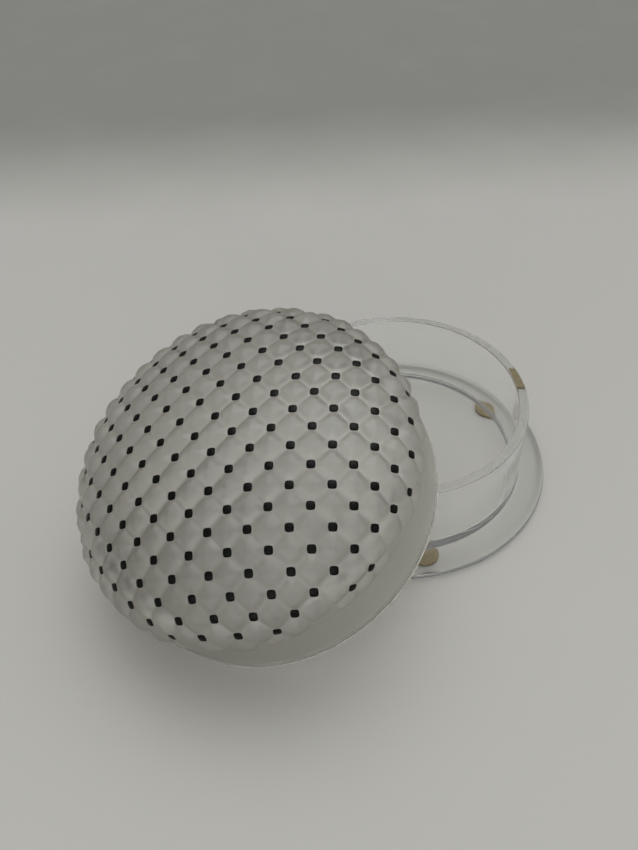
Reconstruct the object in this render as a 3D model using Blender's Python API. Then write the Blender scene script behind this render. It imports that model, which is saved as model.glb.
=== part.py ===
"""A lidded glass powder dish, with its lid taken off and leaning on the dish.

The dish is one piece of clear pressed glass: a round bowl whose foot runs out into a flange.
The lid is one piece of frosted glass: a low dome on a straight skirt, quilted in straight rows.
Three felt discs are glued under the dish. Closed, the lid's rim stands on the flange round the bowl.
Here the lid's rim has one point on the table and two on the dish's rim, which sets its lean.

Units are metres, +Z is up and the table is z = 0. The lid lies towards -X, and the object is the same
on both sides of the XZ plane, apart from the felt discs. The origin is the middle of its footprint.
"""

import math

import bmesh
import bpy
import numpy as np
from mathutils import Matrix, Vector

MM = 0.001

# Dish: a bowl with a straight wall on a flange
DISH_WALL_RADIUS = 58.0 * MM
DISH_WALL = 4.2 * MM
DISH_HEIGHT = 41.0 * MM
DISH_FLOOR = 4.8 * MM
FLANGE_WIDTH = 12.1 * MM
FLANGE_THICKNESS = 3.4 * MM
FLANGE_TOP_ROUND = 1.8 * MM
FLANGE_FOOT_ROUND = 0.8 * MM
WALL_COVE = 2.5 * MM
DISH_RIM_ROUND = 0.8 * MM
BOWL_COVE = 2.5 * MM

# Felt feet, stuck by hand to the underside of the dish, so not quite evenly; the angles are from +X
FOOT_DIAMETER = 12.7 * MM
FOOT_THICKNESS = 1.2 * MM
FOOT_EDGE = 0.3 * MM
FOOT_GLUE = 0.3 * MM
FOOT_ANGLES = (math.radians(-7.7), math.radians(115.7), math.radians(239.0))

# Lid: sizes of the plain glass, without the quilting that stands on it
LID_RADIUS = 70.3 * MM
LID_HEIGHT = 62.0 * MM
DOME_RISE = 27.0 * MM
LID_SKIRT_WALL = 5.2 * MM
LID_CROWN_WALL = 6.2 * MM
RIM_CHAMFER = 1.6 * MM
RIM_EASE = 0.4 * MM

# Quilting: square pads in straight rows over the dome, with a groove between them
QUILT_PITCH = 10.5 * MM
QUILT_RELIEF = 2.1 * MM
QUILT_CROWN = 0.5 * MM
QUILT_FLANK = 2.2 * MM
QUILT_BELOW_SHOULDER = 6.0 * MM
QUILT_BORDER = 2.0 * MM
PAD_LEAST_SHARE = 0.6

# Where the lid leans: the angle round the dish's rim from -X to each of the two resting points
LEAN_REST_ANGLE = math.radians(58.0)
LEAN_CLEARANCE = 0.15 * MM

# How finely round stretches are divided, how near points are merged, and where shading breaks
DISH_STEPS = 72
LID_STEPS = 96
FOOT_STEPS = 32
ARC_STEP = math.radians(30.0)
CROWN_RINGS = 8
PAD_SIDE_PARTS = 2
QUILT_WELD = 0.2 * MM
SPIN_WELD = 0.001 * MM
SHARP_ANGLE = math.radians(35.0)
ARC_SAMPLES = 400

# Materials: colour, roughness and the share of light let through
CLEAR_GLASS = ((0.95, 0.96, 0.95), 0.03, 1.0)
FROSTED_GLASS = ((0.84, 0.85, 0.82), 0.55, 0.9)
FELT = ((0.29, 0.24, 0.17), 0.95, 0.0)
GLASS_IOR = 1.52

# Worked out from the sizes above
FLANGE_RADIUS = DISH_WALL_RADIUS + FLANGE_WIDTH
BOWL_RADIUS = DISH_WALL_RADIUS - DISH_WALL
DISH_UNDERSIDE = FOOT_THICKNESS + FOOT_GLUE
DISH_TOP = DISH_UNDERSIDE + DISH_HEIGHT
SHOULDER_HEIGHT = LID_HEIGHT - DOME_RISE
LID_BORE_RADIUS = LID_RADIUS - LID_SKIRT_WALL
CEILING_RISE = DOME_RISE - LID_CROWN_WALL


def clear_scene():
    for obj in list(bpy.data.objects):
        bpy.data.objects.remove(obj)


def make_material(name, colour, roughness, transmission):
    """A Principled material; with transmission it is glass."""
    material = bpy.data.materials.new(name)
    material.use_nodes = True
    shader = material.node_tree.nodes["Principled BSDF"]
    shader.inputs["Base Color"].default_value = (*colour, 1.0)
    shader.inputs["Roughness"].default_value = roughness
    shader.inputs["Metallic"].default_value = 0.0
    shader.inputs["Transmission Weight"].default_value = transmission
    shader.inputs["IOR"].default_value = GLASS_IOR
    return material


def add_object(name, bm, material, parent):
    """Turns a bmesh into a smooth-shaded object under an empty."""
    bmesh.ops.recalc_face_normals(bm, faces=bm.faces)
    mesh = bpy.data.meshes.new(name)
    bm.to_mesh(mesh)
    bm.free()
    mesh.shade_smooth()
    mesh.set_sharp_from_angle(angle=SHARP_ANGLE)
    mesh.materials.append(material)
    obj = bpy.data.objects.new(name, mesh)
    bpy.context.scene.collection.objects.link(obj)
    obj.parent = parent
    return obj


def add_empty(name, parent=None):
    empty = bpy.data.objects.new(name, None)
    bpy.context.scene.collection.objects.link(empty)
    empty.parent = parent
    return empty


def rounded_profile(corners):
    """(radius, height) points of an outline whose corners (radius, height, round) are rounded with arcs."""
    points = []
    for i, (r, z, size) in enumerate(corners):
        here = Vector((r, z))
        if size == 0.0:
            points.append(here)
            continue
        before = (Vector(corners[i - 1][:2]) - here).normalized()
        after = (Vector(corners[i + 1][:2]) - here).normalized()
        turn = math.pi - before.angle(after)
        back = size * math.tan(turn / 2)
        centre = here + (before + after).normalized() * math.hypot(size, back)
        start = here + before * back - centre
        end = here + after * back - centre
        sign = math.copysign(1.0, start.cross(end))
        steps = max(2, round(turn / ARC_STEP))
        for k in range(steps + 1):
            angle = sign * turn * k / steps
            spun = Matrix.Rotation(angle, 2) @ start
            points.append(centre + spun)
    return points


def revolve(points, steps):
    """A bmesh of the solid that an outline from axis to axis makes when it turns about Z."""
    bm = bmesh.new()
    verts = [bm.verts.new((p.x, 0.0, p.y)) for p in points]
    edges = [bm.edges.new(pair) for pair in zip(verts, verts[1:])]
    bmesh.ops.spin(
        bm,
        geom=verts + edges,
        axis=(0.0, 0.0, 1.0),
        cent=(0.0, 0.0, 0.0),
        angle=2.0 * math.pi,
        steps=steps,
        use_merge=True,
    )
    bmesh.ops.remove_doubles(bm, verts=bm.verts, dist=SPIN_WELD)
    return bm


def make_dish(parent, glass):
    """The bowl and its flange, with the underside at z = 0 of its own frame."""
    corners = [
        (0.0, 0.0, 0.0),
        (FLANGE_RADIUS, 0.0, FLANGE_FOOT_ROUND),
        (FLANGE_RADIUS, FLANGE_THICKNESS, FLANGE_TOP_ROUND),
        (DISH_WALL_RADIUS, FLANGE_THICKNESS, WALL_COVE),
        (DISH_WALL_RADIUS, DISH_HEIGHT, DISH_RIM_ROUND),
        (BOWL_RADIUS, DISH_HEIGHT, DISH_RIM_ROUND),
        (BOWL_RADIUS, DISH_FLOOR, BOWL_COVE),
        (0.0, DISH_FLOOR, 0.0),
    ]
    dish = add_object("dish", revolve(rounded_profile(corners), DISH_STEPS), glass, parent)
    dish.location.z = DISH_UNDERSIDE
    return dish


def make_feet(parent, felt):
    """Felt discs with eased edges, whose middles lie below the outer face of the dish's wall."""
    radius = FOOT_DIAMETER / 2
    corners = [
        (0.0, 0.0, 0.0),
        (radius, 0.0, FOOT_EDGE),
        (radius, FOOT_THICKNESS, FOOT_EDGE),
        (0.0, FOOT_THICKNESS, 0.0),
    ]
    for number, angle in enumerate(FOOT_ANGLES, start=1):
        foot = add_object(f"felt_foot_{number}", revolve(rounded_profile(corners), FOOT_STEPS), felt, parent)
        foot.location = (DISH_WALL_RADIUS * math.cos(angle), DISH_WALL_RADIUS * math.sin(angle), 0.0)


def dome_samples():
    """Arc length, turn, radius and height along the plain dome's outline, from crown to shoulder."""
    turn = np.linspace(0.0, math.pi / 2, ARC_SAMPLES)
    radius = LID_RADIUS * np.sin(turn)
    height = SHOULDER_HEIGHT + DOME_RISE * np.cos(turn)
    length = np.concatenate([[0.0], np.cumsum(np.hypot(np.diff(radius), np.diff(height)))])
    return length, turn, radius, height


def wrap_on_dome(flat, samples):
    """The place on the lid of a flat point (x, y, relief): its distance from 0, 0 runs down the outline."""
    length, turn, radius, height = samples
    reach = math.hypot(flat.x, flat.y)
    angle = math.atan2(flat.y, flat.x)
    t = np.interp(reach, length, turn)
    below = max(0.0, reach - length[-1])
    normal = Vector((math.sin(t) / LID_RADIUS, math.cos(t) / DOME_RISE)).normalized()
    r = np.interp(reach, length, radius) + flat.z * normal.x
    z = np.interp(reach, length, height) - below + flat.z * normal.y
    return Vector((r * math.cos(angle), r * math.sin(angle), z))


def quilted_sheet(edge):
    """A flat round sheet of radius edge, cut into square pads that stand up between straight grooves."""
    bm = bmesh.new()
    rows = 2 * math.ceil(edge / QUILT_PITCH) + 1
    bmesh.ops.create_grid(bm, x_segments=rows, y_segments=rows, size=rows * QUILT_PITCH / 2)
    for k in range(LID_STEPS):
        angle = 2.0 * math.pi * k / LID_STEPS
        outward = Vector((math.cos(angle), math.sin(angle), 0.0))
        geom = bm.verts[:] + bm.edges[:] + bm.faces[:]
        bmesh.ops.bisect_plane(bm, geom=geom, plane_co=outward * edge, plane_no=outward, clear_outer=True)
    bmesh.ops.remove_doubles(bm, verts=bm.verts, dist=QUILT_WELD)
    long_edges = [e for e in bm.edges if e.calc_length() > QUILT_PITCH / PAD_SIDE_PARTS]
    bmesh.ops.bisect_edges(bm, edges=long_edges, cuts=PAD_SIDE_PARTS - 1)
    pads = [f for f in bm.faces if f.calc_area() > PAD_LEAST_SHARE * QUILT_PITCH**2]
    bmesh.ops.inset_individual(bm, faces=pads, thickness=QUILT_FLANK, use_even_offset=True)
    for v in {v for f in pads for v in f.verts}:
        v.co.z = QUILT_RELIEF - QUILT_CROWN
    middles = bmesh.ops.poke(bm, faces=pads)["verts"]
    for v in middles:
        v.co.z = QUILT_RELIEF
    return bm


def ring_of(bm, radius, height):
    """A closed ring of edges about Z."""
    verts = []
    for k in range(LID_STEPS):
        angle = 2.0 * math.pi * k / LID_STEPS
        verts.append(bm.verts.new((radius * math.cos(angle), radius * math.sin(angle), height)))
    return [bm.edges.new((a, b)) for a, b in zip(verts, verts[1:] + verts[:1])]


def lid_inside():
    """(radius, height) of the rings from the skirt's foot, round the rim, to near the ceiling's middle."""
    rings = [
        (LID_RADIUS, RIM_CHAMFER),
        (LID_RADIUS - RIM_CHAMFER, 0.0),
        (LID_BORE_RADIUS + RIM_EASE, 0.0),
        (LID_BORE_RADIUS, RIM_EASE),
    ]
    for k in range(CROWN_RINGS):
        turn = math.pi / 2 * (1.0 - k / CROWN_RINGS)
        rings.append((LID_BORE_RADIUS * math.sin(turn), SHOULDER_HEIGHT + CEILING_RISE * math.cos(turn)))
    return rings


def make_lid(parent, frosted):
    """The domed lid, with its rim at z = 0 of its own frame.

    A quilted sheet is wrapped over the dome. Its edge is drawn down the skirt, round the rim and under the dome.
    """
    samples = dome_samples()
    edge = samples[0][-1] + QUILT_BELOW_SHOULDER
    bm = quilted_sheet(edge)
    sheet_edge = [e for e in bm.edges if e.is_boundary]
    loop = ring_of(bm, edge + QUILT_BORDER, 0.0)
    bmesh.ops.triangle_fill(bm, use_beauty=True, edges=sheet_edge + loop, normal=(0.0, 0.0, 1.0))
    for v in bm.verts:
        v.co = wrap_on_dome(v.co, samples)
    for radius, height in lid_inside():
        drawn = bmesh.ops.extrude_edge_only(bm, edges=loop)["geom"]
        loop = [g for g in drawn if isinstance(g, bmesh.types.BMEdge) and g.is_boundary]
        for v in {v for e in loop for v in e.verts}:
            angle = math.atan2(v.co.y, v.co.x)
            v.co = (radius * math.cos(angle), radius * math.sin(angle), height)
    drawn = bmesh.ops.extrude_edge_only(bm, edges=loop)["geom"]
    middle = [g for g in drawn if isinstance(g, bmesh.types.BMVert)]
    bmesh.ops.pointmerge(bm, verts=middle, merge_co=(0.0, 0.0, SHOULDER_HEIGHT + CEILING_RISE))
    return add_object("lid", bm, frosted, parent)


def lean_of_lid():
    """How far the centre of the lid's rim is from the dish's axis, its height, and the lid's tilt.

    The rim's lowest point is on the table, and its inner edge is on the dish's rim at the two resting points.
    """
    low = LID_RADIUS - RIM_CHAMFER
    across = DISH_WALL_RADIUS * math.sin(LEAN_REST_ANGLE)
    inner = LID_BORE_RADIUS + RIM_EASE
    along = math.sqrt(inner**2 - across**2)
    tilt = math.asin((DISH_TOP + LEAN_CLEARANCE) / (low + along))
    away = DISH_WALL_RADIUS * math.cos(LEAN_REST_ANGLE) + along * math.cos(tilt)
    return away, low * math.sin(tilt), tilt


def centre_footprint(root, dish, lid):
    """Moves the whole object along X until the origin is the middle of its length."""
    bpy.context.view_layer.update()
    reach = [(obj.matrix_world @ v.co).x for obj in (dish, lid) for v in obj.data.vertices]
    root.location.x = -(min(reach) + max(reach)) / 2


def main():
    clear_scene()
    clear_glass = make_material("clear_glass", *CLEAR_GLASS)
    frosted_glass = make_material("frosted_glass", *FROSTED_GLASS)
    felt = make_material("felt", *FELT)
    root = add_empty("powder_dish")
    dish = make_dish(root, clear_glass)
    make_feet(root, felt)
    lean = add_empty("lid_lean", root)
    away, height, tilt = lean_of_lid()
    lean.location = (-away, 0.0, height)
    lean.rotation_euler.y = -tilt
    lid = make_lid(lean, frosted_glass)
    centre_footprint(root, dish, lid)


main()
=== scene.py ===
"""Looks of a lidded glass powder dish whose frosted lid leans on it, on a pale floor.

The dish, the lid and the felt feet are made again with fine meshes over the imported
solids, in the same places. The lid's dome is quilted in straight rows, with a small
black enamel lozenge where the grooves cross. Units are metres. Pieces that turn
about an axis are made about Z in a frame of their own and then placed.
"""

import math

import bmesh
import bpy
import numpy as np
from mathutils import Matrix, Quaternion, Vector


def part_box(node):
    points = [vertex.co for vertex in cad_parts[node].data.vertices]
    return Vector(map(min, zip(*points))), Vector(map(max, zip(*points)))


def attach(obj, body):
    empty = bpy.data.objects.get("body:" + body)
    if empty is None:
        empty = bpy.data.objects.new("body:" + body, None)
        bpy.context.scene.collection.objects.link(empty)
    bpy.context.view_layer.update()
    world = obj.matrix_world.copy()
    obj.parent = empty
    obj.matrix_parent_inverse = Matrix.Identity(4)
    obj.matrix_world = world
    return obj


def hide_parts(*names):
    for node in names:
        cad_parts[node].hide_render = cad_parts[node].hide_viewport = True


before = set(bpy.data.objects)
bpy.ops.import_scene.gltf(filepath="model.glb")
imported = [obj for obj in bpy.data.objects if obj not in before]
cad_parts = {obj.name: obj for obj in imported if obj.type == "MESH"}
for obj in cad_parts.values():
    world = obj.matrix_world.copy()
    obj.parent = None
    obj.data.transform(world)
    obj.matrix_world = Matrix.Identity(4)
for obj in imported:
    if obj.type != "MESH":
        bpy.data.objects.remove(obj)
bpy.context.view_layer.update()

MM = 0.001

# Dish: sizes of the solid that its box doesn't give. The flange's edge is rounder
# and sharper than the solid's own fillet, to match how it refracts in a photo.
DISH_WALL_RADIUS = 58.0 * MM
DISH_WALL = 4.2 * MM
DISH_FLOOR = 4.8 * MM
FLANGE_THICKNESS = 3.4 * MM
FLANGE_TOP_ROUND = 2.7 * MM
FLANGE_FOOT_ROUND = 0.5 * MM
FLANGE_BEND = 1.6 * MM
WALL_COVE = 2.5 * MM
DISH_RIM_ROUND = 0.8 * MM
BOWL_COVE = 2.5 * MM

# Felt feet
FOOT_EDGE = 0.3 * MM
FOOT_NAP = 0.06 * MM

# Lid: sizes of the plain glass, without the quilting that stands on it
LID_RADIUS = 70.3 * MM
LID_HEIGHT = 62.0 * MM
DOME_RISE = 27.0 * MM
LID_SKIRT_WALL = 5.2 * MM
LID_CROWN_WALL = 6.2 * MM
RIM_CHAMFER = 1.6 * MM
RIM_EASE = 0.4 * MM
RIM_ROUND = 0.5 * MM
RIM_POLISHED = 7.0 * MM
# Painted highlight: the width of a pale line painted just above the polished band
RIM_PAINTED_HIGHLIGHT_WIDTH = 0.4 * MM
# Painted light: how pale the skirt below the quilting is painted
SKIRT_PAINTED_LIGHT = 1.0

# Quilting
QUILT_PITCH = 10.5 * MM
QUILT_RELIEF = 2.1 * MM
QUILT_CROWN = 0.8 * MM
QUILT_FLANK = 2.25 * MM
QUILT_CORNER_CUT = 2.25 * MM
QUILT_BELOW_SHOULDER = 6.0 * MM
QUILT_BORDER = 2.0 * MM
QUILT_VALLEY = 0.25 * MM
# Painted light: the height up the pads over which the grooves' painted paleness fades out
GROOVE_PAINTED_LIGHT_DEPTH = 2.0 * MM
PAD_LEAST_SHARE = 0.6

# Enamel lozenges at the crossings of the grooves
MARK_REACH = 1.95 * MM
MARK_DOME = 0.3 * MM
MARK_EDGE = 0.08 * MM
MARK_ROOT = 0.1 * MM
MARK_CURVE = 1.35

# Where the lid leans: the angle round the dish's rim from -X to each of the two resting points
LEAN_REST_ANGLE = math.radians(58.0)
LEAN_CLEARANCE = 0.15 * MM

# How finely round stretches are divided
TURN_STEPS = 256
LID_STEPS = 384
FOOT_STEPS = 96
ARC_STEP = math.radians(10.0)
ARC_SUPPORT = 0.3 * MM
CEILING_RINGS = 28
PAD_CELLS = 14
MARK_STEPS = 20
ARC_SAMPLES = 400
SPIN_WELD = 0.001 * MM

# Worked out from the sizes above
BOWL_RADIUS = DISH_WALL_RADIUS - DISH_WALL
SHOULDER_HEIGHT = LID_HEIGHT - DOME_RISE
LID_BORE_RADIUS = LID_RADIUS - LID_SKIRT_WALL
CEILING_RISE = DOME_RISE - LID_CROWN_WALL

# Camera: the point of the floor it looks at, and from where
CAMERA_AIM = Vector((28.7, 42.8, 0.0)) * MM
CAMERA_DISTANCE = 415.4 * MM
CAMERA_HEADING = math.radians(52.14)
CAMERA_DOWN = math.radians(45.28)
CAMERA_ROLL = math.radians(-2.93)
CAMERA_LENS = 34.6
CAMERA_SENSOR = 36.0

# Floor: painted light makes it paler near the camera, and painted shade darkens it softly far
# behind the object, as seen from the camera
FLOOR_HALF = 20.0
FLOOR_NEAR_PAINTED_LIGHT = (0.452, 0.448, 0.426)
FLOOR_FAR = (0.420, 0.416, 0.396)
FLOOR_PAINTED_SHADE = (0.212, 0.212, 0.198)
FLOOR_NEAREST = 110.0 * MM
FLOOR_TURNS_FROM = 475.0 * MM
FLOOR_TURNS_TO = 670.0 * MM

# Clear glass: the least and the most tinted places, in the dish and, more, in the lid's thick rim
CLEAR_TINTS = [(0.995, 0.998, 0.993), (0.98, 0.986, 0.98)]
RIM_TINTS = [(0.50, 0.51, 0.455), (0.42, 0.43, 0.38)]

# Light: an even surround with brighter and, in what the glass shows of it, darker sides
# (heading, elevation, narrowness, strength in the middle)
LIGHT_COLOUR = (1.0, 0.998, 0.985)
LIGHT_EVEN = 0.26
LIGHT_LEAST = 0.12
LIGHT_HORIZON = 0.43
LIGHT_HORIZON_REACH = math.radians(6.0)
LIGHT_SIDES = [
    (math.radians(38.0), math.radians(71.0), 8.0, 2.75),
    (math.radians(222.0), math.radians(16.0), 4.0, 1.3),
    (math.radians(330.0), math.radians(16.0), 4.0, 0.55),
]
GLASS_SIDES = [
    (math.radians(55.0), math.radians(42.0), 4.0, -2.2),
    (math.radians(38.0), math.radians(74.0), 8.0, -1.6),
]
GLASS_BOUNCES = 32


def rounded_profile(corners):
    """(radius, height) points of an outline whose corners (radius, height, round) are
    rounded with arcs.

    Each arc has a point a little before and after it, so that flat stretches shade as
    flat.
    """
    points = []
    for i, (r, z, size) in enumerate(corners):
        here = Vector((r, z))
        if size == 0.0:
            points.append(here)
            continue
        before = (Vector(corners[i - 1][:2]) - here).normalized()
        after = (Vector(corners[i + 1][:2]) - here).normalized()
        turn = math.pi - before.angle(after)
        back = size * math.tan(turn / 2)
        centre = here + (before + after).normalized() * math.hypot(size, back)
        start = here + before * back - centre
        end = here + after * back - centre
        sign = math.copysign(1.0, start.cross(end))
        steps = max(3, round(turn / ARC_STEP))
        points.append(here + before * (back + ARC_SUPPORT))
        for k in range(steps + 1):
            angle = sign * turn * k / steps
            spun = Matrix.Rotation(angle, 2) @ start
            points.append(centre + spun)
        points.append(here + after * (back + ARC_SUPPORT))
    return points


def revolve(points, steps):
    """A bmesh of the solid that an outline from axis to axis makes when it turns about Z."""
    bm = bmesh.new()
    verts = [bm.verts.new((p.x, 0.0, p.y)) for p in points]
    edges = [bm.edges.new(pair) for pair in zip(verts, verts[1:])]
    bmesh.ops.spin(
        bm,
        geom=verts + edges,
        axis=(0.0, 0.0, 1.0),
        cent=(0.0, 0.0, 0.0),
        angle=2.0 * math.pi,
        steps=steps,
        use_merge=True,
    )
    bmesh.ops.remove_doubles(bm, verts=bm.verts, dist=SPIN_WELD)
    return bm


def add_piece(name, bm, materials, place):
    """Turns a bmesh into a smooth-shaded object, with its points moved to a place given by
    a matrix.
    """
    bmesh.ops.recalc_face_normals(bm, faces=bm.faces)
    bmesh.ops.transform(bm, matrix=place, verts=bm.verts)
    mesh = bpy.data.meshes.new(name)
    bm.to_mesh(mesh)
    bm.free()
    mesh.shade_smooth()
    for material in materials:
        mesh.materials.append(material)
    obj = bpy.data.objects.new(name, mesh)
    bpy.context.scene.collection.objects.link(obj)
    return obj


class Shader:
    """A material's node tree, with short calls for the nodes that the materials here share."""

    def __init__(self, name):
        self.material = bpy.data.materials.new(name)
        self.material.use_nodes = True
        self.tree = self.material.node_tree
        self.surface = self.tree.nodes["Principled BSDF"]
        coordinates = self.tree.nodes.new("ShaderNodeTexCoord")
        self.place = coordinates.outputs["Object"]

    def node(self, kind, settings=(), values=(), links=()):
        """Adds a node, sets its attributes and inputs, and links inputs to outputs."""
        made = self.tree.nodes.new(kind)
        for key, value in dict(settings).items():
            setattr(made, key, value)
        for key, value in dict(values).items():
            made.inputs[key].default_value = value
        for key, socket in dict(links).items():
            self.tree.links.new(socket, made.inputs[key])
        return made

    def set(self, **values):
        """Sets inputs of the surface; an underscore stands for a space."""
        for key, value in values.items():
            socket = self.surface.inputs[key.replace("_", " ")]
            if isinstance(value, bpy.types.NodeSocket):
                self.tree.links.new(value, socket)
            else:
                socket.default_value = value

    def noise(self, size, detail=3.0, roughness=0.5, place=None):
        """Noise whose features are about size across."""
        made = self.node(
            "ShaderNodeTexNoise",
            values={"Scale": 1.0 / size, "Detail": detail, "Roughness": roughness},
            links={"Vector": place or self.place},
        )
        return made.outputs["Fac"]

    def stretched(self, scale, turn):
        """The surface's coordinates, turned about Z and scaled along each axis."""
        made = self.node(
            "ShaderNodeMapping",
            values={"Scale": scale, "Rotation": (0.0, 0.0, turn)},
            links={"Vector": self.place},
        )
        return made.outputs["Vector"]

    def ramp(self, value, low, high, stops):
        """A colour that goes through stops as value goes from low to high."""
        made = self.node("ShaderNodeValToRGB", links={"Fac": value})
        elements = made.color_ramp.elements
        while len(elements) < len(stops):
            elements.new(0.5)
        for k, colour in enumerate(stops):
            elements[k].position = low + (high - low) * k / (len(stops) - 1)
            elements[k].color = (*colour, 1.0)
        return made.outputs["Color"]

    def spread(self, value, low, high, to_low, to_high):
        """value, taken from the range low to high to the range to_low to to_high."""
        made = self.node(
            "ShaderNodeMapRange",
            values={"From Min": low, "From Max": high, "To Min": to_low, "To Max": to_high},
            links={"Value": value},
        )
        return made.outputs["Result"]

    def maths(self, operation, a, b):
        links = {k: x for k, x in enumerate((a, b)) if isinstance(x, bpy.types.NodeSocket)}
        values = {k: x for k, x in enumerate((a, b)) if k not in links}
        return self.node("ShaderNodeMath", {"operation": operation}, values, links).outputs["Value"]

    def let_light_through(self, stops, bend):
        """Lamps and bounced light pass straight through the surface, dimmed by stops
        from face on to edge on.

        The last stop is for where bend is 1: there a tight curve throws most of the
        light aside.
        """
        path = self.tree.nodes.new("ShaderNodeLightPath")
        lit = self.maths("MAXIMUM", path.outputs["Is Shadow Ray"], path.outputs["Is Diffuse Ray"])
        edge = self.tree.nodes.new("ShaderNodeLayerWeight")
        edge_on = (len(stops) - 2) / (len(stops) - 1)
        slant = self.maths("MULTIPLY", edge.outputs["Facing"], edge_on)
        dim = self.ramp(self.maths("MAXIMUM", slant, bend), 0.0, 1.0, stops)
        window = self.node("ShaderNodeBsdfTransparent", links={"Color": dim})
        links = {0: lit, 1: self.surface.outputs["BSDF"], 2: window.outputs["BSDF"]}
        mixed = self.node("ShaderNodeMixShader", links=links)
        output = self.tree.nodes["Material Output"]
        self.tree.links.new(mixed.outputs["Shader"], output.inputs["Surface"])

    def bump(self, height, distance, strength, normal=None):
        """A normal roughened by a height; distance is how deep the height's 0 to 1 is."""
        links = {"Height": height}
        if normal is not None:
            links["Normal"] = normal
        made = self.node(
            "ShaderNodeBump",
            values={"Strength": strength, "Distance": distance},
            links=links,
        )
        return made.outputs["Normal"]


GLASS_WAVE_SIZE = 14.0 * MM
GLASS_SMEAR_SIZE = 9.0 * MM
FROST_CLOUD_SIZE = 22.0 * MM
FROST_GRAIN_SIZE = 0.35 * MM
FROST_PIT_SIZE = 1.6 * MM
FELT_TUFT_SIZE = 2.2 * MM
FELT_STRAND_SIZE = 0.16 * MM
ENAMEL_SKIN_SIZE = 0.7 * MM
FLOOR_MOTTLE_SIZE = 60.0 * MM
FLOOR_FIBRE_SIZE = 0.8 * MM


def clear_glass(name, tints):
    """Pressed glass, polished: faintly wavy, and a little greyer in some places than in others."""
    s = Shader(name)
    waves = s.noise(GLASS_WAVE_SIZE, detail=1.0)
    smears = s.noise(GLASS_SMEAR_SIZE, detail=4.0, roughness=0.6)
    s.set(
        Base_Color=s.ramp(smears, 0.3, 0.7, tints),
        Roughness=0.0,
        IOR=1.5,
        Transmission_Weight=1.0,
        Normal=s.bump(waves, 0.2 * MM, 0.05),
    )
    bend = s.node("ShaderNodeAttribute", {"attribute_name": "bend"}).outputs["Fac"]
    slants = [(1.0, 1.0, 0.995), (0.99, 0.99, 0.985), (0.965, 0.965, 0.96), (0.4, 0.4, 0.4)]
    s.let_light_through([*slants, (0.12, 0.12, 0.12)], bend)
    return s.material


def frosted_glass():
    """Satin glass: rough all over, cloudy from place to place, with a fine etched grain
    and a polished rim; painted light makes the grooves, the skirt and a line above the rim paler.
    """
    s = Shader("frosted_glass_look")
    clouds = s.noise(FROST_CLOUD_SIZE, detail=3.0)
    grain = s.noise(FROST_GRAIN_SIZE, detail=2.0)
    pits = s.noise(FROST_PIT_SIZE, detail=3.0)
    # Painted light: the mesh's attribute paints the grooves, the skirt and a line above the
    # polished rim paler, on top of the cloudy tone
    groove = s.node("ShaderNodeAttribute", {"attribute_name": "groove"}).outputs["Fac"]
    pale_and_painted_light = s.maths(
        "ADD",
        s.spread(clouds, 0.3, 0.7, 0.0, 0.35),
        s.spread(groove, 0.0, 1.0, 0.0, 0.65),
    )
    tint = s.ramp(pale_and_painted_light, 0.0, 1.0, [(0.76, 0.77, 0.75), (0.915, 0.90, 0.855), (1.0, 0.99, 0.955)])
    facing = s.node("ShaderNodeLayerWeight").outputs["Facing"]
    deeper = s.ramp(
        facing,
        0.0,
        1.0,
        [(1.0, 1.0, 1.0), (0.86, 0.855, 0.835), (0.65, 0.64, 0.595), (0.56, 0.54, 0.46)],
    )
    through = s.node(
        "ShaderNodeMix",
        {"data_type": "RGBA", "blend_type": "MULTIPLY"},
        {"Factor": 1.0},
        {"A": tint, "B": deeper},
    )
    satin = s.bump(grain, 0.05 * MM, 0.35)
    s.set(
        Base_Color=through.outputs["Result"],
        Roughness=s.spread(clouds, 0.3, 0.7, 0.30, 0.40),
        IOR=1.5,
        Transmission_Weight=0.98,
        Normal=s.bump(pits, 0.08 * MM, 0.3, satin),
    )
    return s.material


def black_enamel():
    """Fired black enamel: deep black, with a slightly uneven skin that shines a little."""
    s = Shader("black_enamel_look")
    skin = s.noise(ENAMEL_SKIN_SIZE, detail=2.0)
    tint = s.ramp(skin, 0.3, 0.7, [(0.002, 0.002, 0.002), (0.006, 0.006, 0.005)])
    s.set(
        Base_Color=tint,
        Roughness=s.spread(skin, 0.3, 0.7, 0.10, 0.22),
        Specular_IOR_Level=0.1,
        Normal=s.bump(skin, 0.05 * MM, 0.4),
    )
    return s.material


def felt():
    """Tan pressed felt: fibres that lie in every direction, with paler and darker tufts."""
    s = Shader("felt_look")
    fibres = None
    for k in range(3):
        along = s.stretched((1.0, 0.12, 1.0), math.pi * k / 3)
        strand = s.noise(FELT_STRAND_SIZE, detail=2.0, place=along)
        fibres = strand if fibres is None else s.maths("MAXIMUM", fibres, strand)
    tufts = s.noise(FELT_TUFT_SIZE, detail=3.0)
    mixed = s.maths("ADD", s.maths("MULTIPLY", fibres, 0.6), s.maths("MULTIPLY", tufts, 0.4))
    stops = [(0.135, 0.107, 0.057), (0.225, 0.182, 0.098), (0.345, 0.29, 0.172)]
    s.set(
        Base_Color=s.ramp(mixed, 0.4, 0.75, stops),
        Roughness=0.95,
        Sheen_Weight=0.2,
        Sheen_Roughness=0.5,
        Normal=s.bump(mixed, 0.3 * MM, 0.6),
    )
    return s.material


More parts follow.
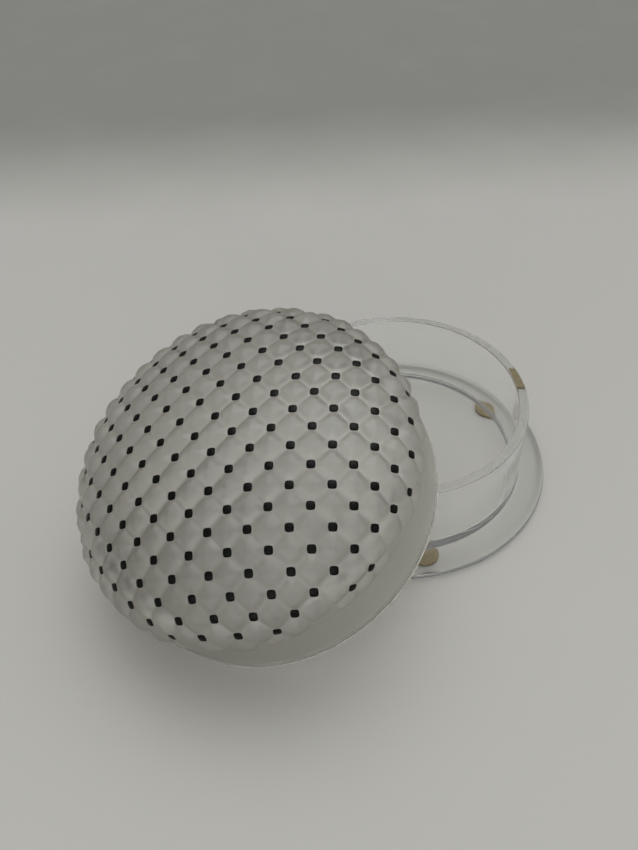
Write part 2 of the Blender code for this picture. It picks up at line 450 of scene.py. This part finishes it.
def studio_floor(ahead, foot):
    """Pale matt paper with painted light, paler near the camera, and painted shade, darker far
    behind the object; ahead is the camera's heading, foot its place.
    """
    s = Shader("studio_floor")
    toward = s.node(
        "ShaderNodeVectorMath",
        {"operation": "DOT_PRODUCT"},
        {1: ahead},
        {0: s.place},
    ).outputs["Value"]
    start = ahead.dot(foot)
    # Painted light: paler near the camera, fading out farther away
    away = s.spread(toward, start + FLOOR_NEAREST, start + FLOOR_TURNS_FROM, 0.0, 0.5)
    # Painted shade: darker in a soft band far behind the object
    turned = s.node(
        "ShaderNodeMapRange",
        {"interpolation_type": "SMOOTHSTEP"},
        {"From Min": start + FLOOR_TURNS_FROM, "From Max": start + FLOOR_TURNS_TO, "To Max": 0.5},
        {"Value": toward},
    ).outputs["Result"]
    mottle = s.noise(FLOOR_MOTTLE_SIZE, detail=4.0)
    fibre = s.noise(FLOOR_FIBRE_SIZE, detail=2.0)
    # Painted light and shade, with a faint random mottle on top
    shade = s.maths("ADD", s.maths("ADD", away, turned), s.spread(mottle, 0.3, 0.7, -0.02, 0.02))
    s.set(
        Base_Color=s.ramp(shade, 0.0, 1.0, [FLOOR_NEAR_PAINTED_LIGHT, FLOOR_FAR, FLOOR_PAINTED_SHADE]),
        Roughness=0.75,
        Specular_IOR_Level=0.2,
        Normal=s.bump(fibre, 0.05 * MM, 0.2),
    )
    return s.material


def make_dish(glass):
    """The bowl and its flange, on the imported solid's place."""
    low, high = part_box("dish")
    middle = (low + high) / 2
    flange = (high.y - low.y) / 2
    height = high.z - low.z
    corners = [
        (0.0, 0.0, 0.0),
        (flange, 0.0, FLANGE_FOOT_ROUND),
        (flange, FLANGE_THICKNESS, FLANGE_TOP_ROUND),
        (DISH_WALL_RADIUS, FLANGE_THICKNESS, WALL_COVE),
        (DISH_WALL_RADIUS, height, DISH_RIM_ROUND),
        (BOWL_RADIUS, height, DISH_RIM_ROUND),
        (BOWL_RADIUS, DISH_FLOOR, BOWL_COVE),
        (0.0, DISH_FLOOR, 0.0),
    ]
    bm = revolve(rounded_profile(corners), TURN_STEPS)
    bend = bm.verts.layers.float.new("bend")
    for v in bm.verts:
        at_edge = v.co.xy.length > flange - FLANGE_BEND
        v[bend] = float(at_edge and v.co.z > FLANGE_FOOT_ROUND)
    place = Matrix.Translation((middle.x, middle.y, low.z))
    dish = add_piece("dish_glass", bm, [glass], place)
    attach(dish, "dish")
    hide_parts("dish")


def make_feet(material):
    """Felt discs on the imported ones, pressed up against the glass, with an uneven cut edge."""
    glass_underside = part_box("dish")[0].z
    for node in sorted(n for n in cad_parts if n.startswith("felt_foot")):
        low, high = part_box(node)
        middle = (low + high) / 2
        radius = (high.x - low.x) / 2
        top = glass_underside - low.z - FOOT_NAP / 2
        corners = [
            (0.0, 0.0, 0.0),
            (radius - FOOT_NAP, 0.0, FOOT_EDGE),
            (radius - FOOT_NAP, top, FOOT_EDGE),
            (0.0, top, 0.0),
        ]
        bm = revolve(rounded_profile(corners), FOOT_STEPS)
        for v in bm.verts:
            angle = math.atan2(v.co.y, v.co.x)
            uneven = math.sin(7 * angle + middle.x / MM) + math.sin(13 * angle + middle.y / MM)
            share = math.hypot(v.co.x, v.co.y) / radius
            v.co.xy *= 1.0 + share * uneven * FOOT_NAP / (2 * radius)
        place = Matrix.Translation((middle.x, middle.y, low.z))
        foot = add_piece(f"{node}_nap", bm, [material], place)
        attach(foot, "dish")
        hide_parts(node)


def dome_samples():
    """Arc length, turn, radius and height along the plain dome's outline, from the crown
    to the shoulder.
    """
    turn = np.linspace(0.0, math.pi / 2, ARC_SAMPLES)
    radius = LID_RADIUS * np.sin(turn)
    height = SHOULDER_HEIGHT + DOME_RISE * np.cos(turn)
    length = np.concatenate([[0.0], np.cumsum(np.hypot(np.diff(radius), np.diff(height)))])
    return length, turn, radius, height


DOME = dome_samples()
QUILT_EDGE = DOME[0][-1] + QUILT_BELOW_SHOULDER


def wrap_on_dome(flat):
    """The places on the lid of flat points (x, y, relief): their distance from 0, 0 runs
    down the outline.
    """
    length, turn, radius, height = DOME
    reach = np.hypot(flat[:, 0], flat[:, 1])
    angle = np.arctan2(flat[:, 1], flat[:, 0])
    t = np.interp(reach, length, turn)
    below = np.maximum(0.0, reach - length[-1])
    across = np.sin(t) / LID_RADIUS
    up = np.cos(t) / DOME_RISE
    size = np.hypot(across, up)
    r = np.interp(reach, length, radius) + flat[:, 2] * across / size
    z = np.interp(reach, length, height) - below + flat[:, 2] * up / size
    return np.stack([r * np.cos(angle), r * np.sin(angle), z], axis=1)


def raised_pads():
    """The (column, row) of each pad of which enough lies inside the quilted circle."""
    count = math.ceil(QUILT_EDGE / QUILT_PITCH)
    cell = (np.arange(PAD_CELLS**2) % PAD_CELLS + 0.5) / PAD_CELLS - 0.5
    line = (np.arange(PAD_CELLS**2) // PAD_CELLS + 0.5) / PAD_CELLS - 0.5
    pads = set()
    for column in range(-count, count + 1):
        for row in range(-count, count + 1):
            inside = np.hypot(cell + column, line + row) * QUILT_PITCH < QUILT_EDGE
            if inside.mean() > PAD_LEAST_SHARE:
                pads.add((column, row))
    return pads


PADS = raised_pads()


def quilt_height(x, y):
    """Height of the quilting at flat points: rounded pads with cut corners, and plain
    glass between them.
    """
    column = np.rint(x / QUILT_PITCH)
    row = np.rint(y / QUILT_PITCH)
    u = np.abs(x - column * QUILT_PITCH)
    v = np.abs(y - row * QUILT_PITCH)
    half = QUILT_PITCH / 2
    sides = [
        half - u,
        half - v,
        (QUILT_PITCH - QUILT_CORNER_CUT - u - v) / math.sqrt(2.0),
        QUILT_EDGE - np.hypot(x, y),
    ]
    inward = np.maximum(0.0, np.min(sides, axis=0))
    eased = np.hypot(inward, QUILT_VALLEY) - QUILT_VALLEY
    knee = math.hypot(QUILT_FLANK, QUILT_VALLEY) - QUILT_VALLEY
    stops = [0.0, knee, half]
    heights = [0.0, QUILT_RELIEF - QUILT_CROWN, QUILT_RELIEF]
    raised = np.array([(int(c), int(r)) in PADS for c, r in zip(column, row)])
    return raised * np.interp(eased, stops, heights)


def lid_rings():
    """(radius, height) of the rings from the skirt's foot, round the polished rim, to near
    the ceiling's middle.
    """
    corners = [
        (LID_RADIUS, SHOULDER_HEIGHT / 2, 0.0),
        (LID_RADIUS, RIM_POLISHED + 2 * RIM_PAINTED_HIGHLIGHT_WIDTH, 0.0),
        (LID_RADIUS, RIM_POLISHED + RIM_PAINTED_HIGHLIGHT_WIDTH, 0.0),
        (LID_RADIUS, RIM_POLISHED, 0.0),
        (LID_RADIUS, RIM_CHAMFER, RIM_ROUND),
        (LID_RADIUS - RIM_CHAMFER, 0.0, RIM_ROUND),
        (LID_BORE_RADIUS, 0.0, RIM_EASE),
        (LID_BORE_RADIUS, SHOULDER_HEIGHT / 2, 0.0),
    ]
    rings = [(p.x, p.y) for p in rounded_profile(corners)]
    for k in range(CEILING_RINGS):
        turn = math.pi / 2 * (1.0 - k / CEILING_RINGS)
        rings.append(
            (LID_BORE_RADIUS * math.sin(turn), SHOULDER_HEIGHT + CEILING_RISE * math.cos(turn))
        )
    return rings


def quilted_sheet():
    """A flat round sheet with the quilting's heights, whose ragged edge lies in the plain
    border.

    Each small square is split along the diagonal that lies closer to the quilting's own
    height in its middle.
    """
    bm = bmesh.new()
    groove = bm.verts.layers.float.new("groove")
    rows = 2 * math.ceil(QUILT_EDGE / QUILT_PITCH) + 1
    cells = rows * PAD_CELLS
    bmesh.ops.create_grid(bm, x_segments=cells, y_segments=cells, size=rows * QUILT_PITCH / 2)
    outside = [v for v in bm.verts if v.co.length > QUILT_EDGE + QUILT_BORDER / 2]
    bmesh.ops.delete(bm, geom=outside, context="VERTS")
    flat = np.array([v.co for v in bm.verts])
    heights = quilt_height(flat[:, 0], flat[:, 1])
    # Painted light: the grooves are painted paler, fading out up the pads and toward the border
    within = np.clip((QUILT_EDGE - np.hypot(flat[:, 0], flat[:, 1])) / QUILT_BORDER, 0.0, 1.0)
    deep = within * np.clip(1.0 - heights / GROOVE_PAINTED_LIGHT_DEPTH, 0.0, 1.0)
    for v, height, share in zip(bm.verts, heights, deep):
        v.co.z = height
        v[groove] = share
    squares = bm.faces[:]
    middles = np.array([f.calc_center_median() for f in squares])
    for f, height in zip(squares, quilt_height(middles[:, 0], middles[:, 1])):
        a, b, c, d = f.verts
        first = abs((a.co.z + c.co.z) / 2 - height)
        second = abs((b.co.z + d.co.z) / 2 - height)
        bmesh.utils.face_split(f, *((a, c) if first <= second else (b, d)))
    return bm


def ring_of(bm, radius):
    """A closed ring of edges about Z."""
    verts = []
    for k in range(LID_STEPS):
        angle = 2.0 * math.pi * k / LID_STEPS
        verts.append(bm.verts.new((radius * math.cos(angle), radius * math.sin(angle), 0.0)))
    return [bm.edges.new((a, b)) for a, b in zip(verts, verts[1:] + verts[:1])]


def lid_place():
    """The matrix of the leaning lid: its rim is on the floor at one point and on the
    dish's rim at two.
    """
    low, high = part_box("dish")
    axis_x = (low.x + high.x) / 2
    touch = LID_RADIUS - RIM_CHAMFER
    across = DISH_WALL_RADIUS * math.sin(LEAN_REST_ANGLE)
    inner = LID_BORE_RADIUS + RIM_EASE
    along = math.sqrt(inner**2 - across**2)
    tilt = math.asin((high.z + LEAN_CLEARANCE) / (touch + along))
    away = DISH_WALL_RADIUS * math.cos(LEAN_REST_ANGLE) + along * math.cos(tilt)
    there = Matrix.Translation((axis_x - away, 0.0, touch * math.sin(tilt)))
    return there @ Matrix.Rotation(-tilt, 4, "Y")


def make_lid(frosted, polished, place):
    """The domed lid: the quilted sheet is wrapped over the dome, and its edge drawn round
    the rim and inside.
    """
    bm = quilted_sheet()
    sheet_edge = [e for e in bm.edges if e.is_boundary]
    loop = ring_of(bm, QUILT_EDGE + QUILT_BORDER)
    bmesh.ops.triangle_fill(bm, use_beauty=True, edges=sheet_edge + loop, normal=(0.0, 0.0, 1.0))
    wrapped = wrap_on_dome(np.array([v.co for v in bm.verts]))
    for v, co in zip(bm.verts, wrapped):
        v.co = co
    for radius, height in lid_rings():
        drawn = bmesh.ops.extrude_edge_only(bm, edges=loop)["geom"]
        loop = [g for g in drawn if isinstance(g, bmesh.types.BMEdge) and g.is_boundary]
        for v in {v for e in loop for v in e.verts}:
            angle = math.atan2(v.co.y, v.co.x)
            v.co = (radius * math.cos(angle), radius * math.sin(angle), height)
    drawn = bmesh.ops.extrude_edge_only(bm, edges=loop)["geom"]
    middle = [g for g in drawn if isinstance(g, bmesh.types.BMVert)]
    bmesh.ops.pointmerge(bm, verts=middle, merge_co=(0.0, 0.0, SHOULDER_HEIGHT + CEILING_RISE))
    for face in bm.faces:
        face.material_index = int(face.calc_center_median().z < RIM_POLISHED)
    pale_and_painted_light = bm.verts.layers.float["groove"]
    for v in bm.verts:
        # Painted highlight: a pale line just above the polished band
        if abs(v.co.z - RIM_POLISHED - RIM_PAINTED_HIGHLIGHT_WIDTH / 2) < RIM_PAINTED_HIGHLIGHT_WIDTH:
            v[pale_and_painted_light] = 1.0
        # Painted light: the skirt below the quilting is painted paler
        elif v.co.z < SHOULDER_HEIGHT - QUILT_BELOW_SHOULDER:
            v[pale_and_painted_light] = SKIRT_PAINTED_LIGHT
    lid = add_piece("lid_glass", bm, [frosted, polished], place)
    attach(lid, "lid")
    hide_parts("lid")


def mark_places():
    """The crossings of grooves that have a raised pad on every side."""
    around = [(0, 0), (1, 0), (0, 1), (1, 1)]
    return [
        ((column + 0.5) * QUILT_PITCH, (row + 0.5) * QUILT_PITCH)
        for column, row in sorted(PADS)
        if all((column + a, row + b) in PADS for a, b in around)
    ]


def lozenge_rings():
    """(share of the reach, height over the ground) of a lozenge's rings, from its root to
    near its middle.
    """
    rings = [(1.0, -MARK_ROOT), (1.0, MARK_EDGE / 2), (0.93, MARK_EDGE)]
    for share in (0.75, 0.5, 0.25):
        rings.append((share, MARK_EDGE + (MARK_DOME - MARK_EDGE) * (1.0 - share * share)))
    return rings


def make_marks(enamel, place):
    """Low domed lozenges of enamel, one at each crossing, lying on the quilted dome."""
    bm = bmesh.new()
    turn = 2.0 * math.pi * np.arange(MARK_STEPS) / MARK_STEPS
    superness = np.abs(np.cos(turn)) ** MARK_CURVE + np.abs(np.sin(turn)) ** MARK_CURVE
    size = superness ** (-1.0 / MARK_CURVE)
    outline = np.stack([np.cos(turn), np.sin(turn)], axis=1) * size[:, None] * MARK_REACH
    for x, y in mark_places():
        before = None
        for share, lift in lozenge_rings():
            spot = outline * share + (x, y)
            height = quilt_height(spot[:, 0], spot[:, 1]) + lift
            ring = [bm.verts.new(co) for co in wrap_on_dome(np.column_stack([spot, height]))]
            if before:
                for k in range(MARK_STEPS):
                    n = (k + 1) % MARK_STEPS
                    bm.faces.new((before[k], before[n], ring[n], ring[k]))
            else:
                bm.faces.new(ring[::-1])
            before = ring
        top = bm.verts.new(wrap_on_dome(np.array([[x, y, MARK_DOME]]))[0])
        for k in range(MARK_STEPS):
            bm.faces.new((before[k], before[(k + 1) % MARK_STEPS], top))
    marks = add_piece("enamel_marks", bm, [enamel], place)
    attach(marks, "lid")


def make_camera():
    """The photograph's viewing angle. Returns the camera's heading along the floor and its
    place.
    """
    ahead = Vector((math.cos(CAMERA_HEADING), math.sin(CAMERA_HEADING), 0.0))
    look = ahead * math.cos(CAMERA_DOWN) - Vector((0.0, 0.0, math.sin(CAMERA_DOWN)))
    data = bpy.data.cameras.new("camera")
    data.lens = CAMERA_LENS
    data.sensor_width = CAMERA_SENSOR
    data.clip_start = 0.01
    camera = bpy.data.objects.new("camera", data)
    camera.location = CAMERA_AIM - look * CAMERA_DISTANCE
    camera.rotation_mode = "QUATERNION"
    track = look.to_track_quat("-Z", "Y")
    camera.rotation_quaternion = track @ Quaternion((0.0, 0.0, 1.0), CAMERA_ROLL)
    bpy.context.scene.collection.objects.link(camera)
    bpy.context.scene.camera = camera
    return ahead, camera.location


def make_floor(material):
    bm = bmesh.new()
    bmesh.ops.create_grid(bm, x_segments=1, y_segments=1, size=FLOOR_HALF)
    floor = add_piece("floor", bm, [material], Matrix.Identity(4))


def make_light():
    """Soft studio light: an even surround with brighter sides, which meets the floor in a
    plain band.

    Clear glass shows it darker behind the object.
    """
    world = bpy.data.worlds.new("surround")
    world.use_nodes = True
    tree = world.node_tree
    coordinates = tree.nodes.new("ShaderNodeTexCoord")

    def maths(operation, a, b):
        made = tree.nodes.new("ShaderNodeMath")
        made.operation = operation
        tree.links.new(a, made.inputs[0])
        if isinstance(b, float):
            made.inputs[1].default_value = b
        else:
            tree.links.new(b, made.inputs[1])
        return made.outputs["Value"]

    def side(heading, elevation, narrowness, strength):
        flat = math.cos(elevation)
        towards = tree.nodes.new("ShaderNodeVectorMath")
        towards.operation = "DOT_PRODUCT"
        tree.links.new(coordinates.outputs["Generated"], towards.inputs[0])
        towards.inputs[1].default_value = (
            flat * math.cos(heading),
            flat * math.sin(heading),
            math.sin(elevation),
        )
        facing = maths("MAXIMUM", towards.outputs["Value"], 0.0)
        return maths("MULTIPLY", maths("POWER", facing, narrowness), strength)

    def sum_of(sides):
        level = side(*sides[0])
        for more in sides[1:]:
            level = maths("ADD", level, side(*more))
        return level

    path = tree.nodes.new("ShaderNodeLightPath")
    in_glass = maths("MULTIPLY", sum_of(GLASS_SIDES), path.outputs["Is Singular Ray"])
    sides = maths("ADD", sum_of(LIGHT_SIDES), in_glass)
    background = tree.nodes["Background"]
    background.inputs["Color"].default_value = (*LIGHT_COLOUR, 1.0)
    level = maths("MAXIMUM", maths("ADD", sides, LIGHT_EVEN), LIGHT_LEAST)
    up = tree.nodes.new("ShaderNodeSeparateXYZ")
    tree.links.new(coordinates.outputs["Generated"], up.inputs["Vector"])
    band = tree.nodes.new("ShaderNodeMapRange")
    band.interpolation_type = "SMOOTHSTEP"
    band.inputs["From Max"].default_value = math.sin(LIGHT_HORIZON_REACH)
    tree.links.new(up.outputs["Z"], band.inputs["Value"])
    strength = tree.nodes.new("ShaderNodeMix")
    strength.inputs["A"].default_value = LIGHT_HORIZON
    tree.links.new(band.outputs["Result"], strength.inputs["Factor"])
    tree.links.new(level, strength.inputs["B"])
    tree.links.new(strength.outputs["Result"], background.inputs["Strength"])
    bpy.context.scene.world = world


def main():
    scene = bpy.context.scene
    scene.view_settings.view_transform = "Standard"
    scene.cycles.max_bounces = GLASS_BOUNCES
    scene.cycles.glossy_bounces = GLASS_BOUNCES
    scene.cycles.transmission_bounces = GLASS_BOUNCES
    ahead, foot = make_camera()
    make_light()
    make_floor(studio_floor(ahead, foot))
    make_dish(clear_glass("clear_glass_look", CLEAR_TINTS))
    make_feet(felt())
    place = lid_place()
    make_lid(frosted_glass(), clear_glass("rim_glass_look", RIM_TINTS), place)
    make_marks(black_enamel(), place)


main()
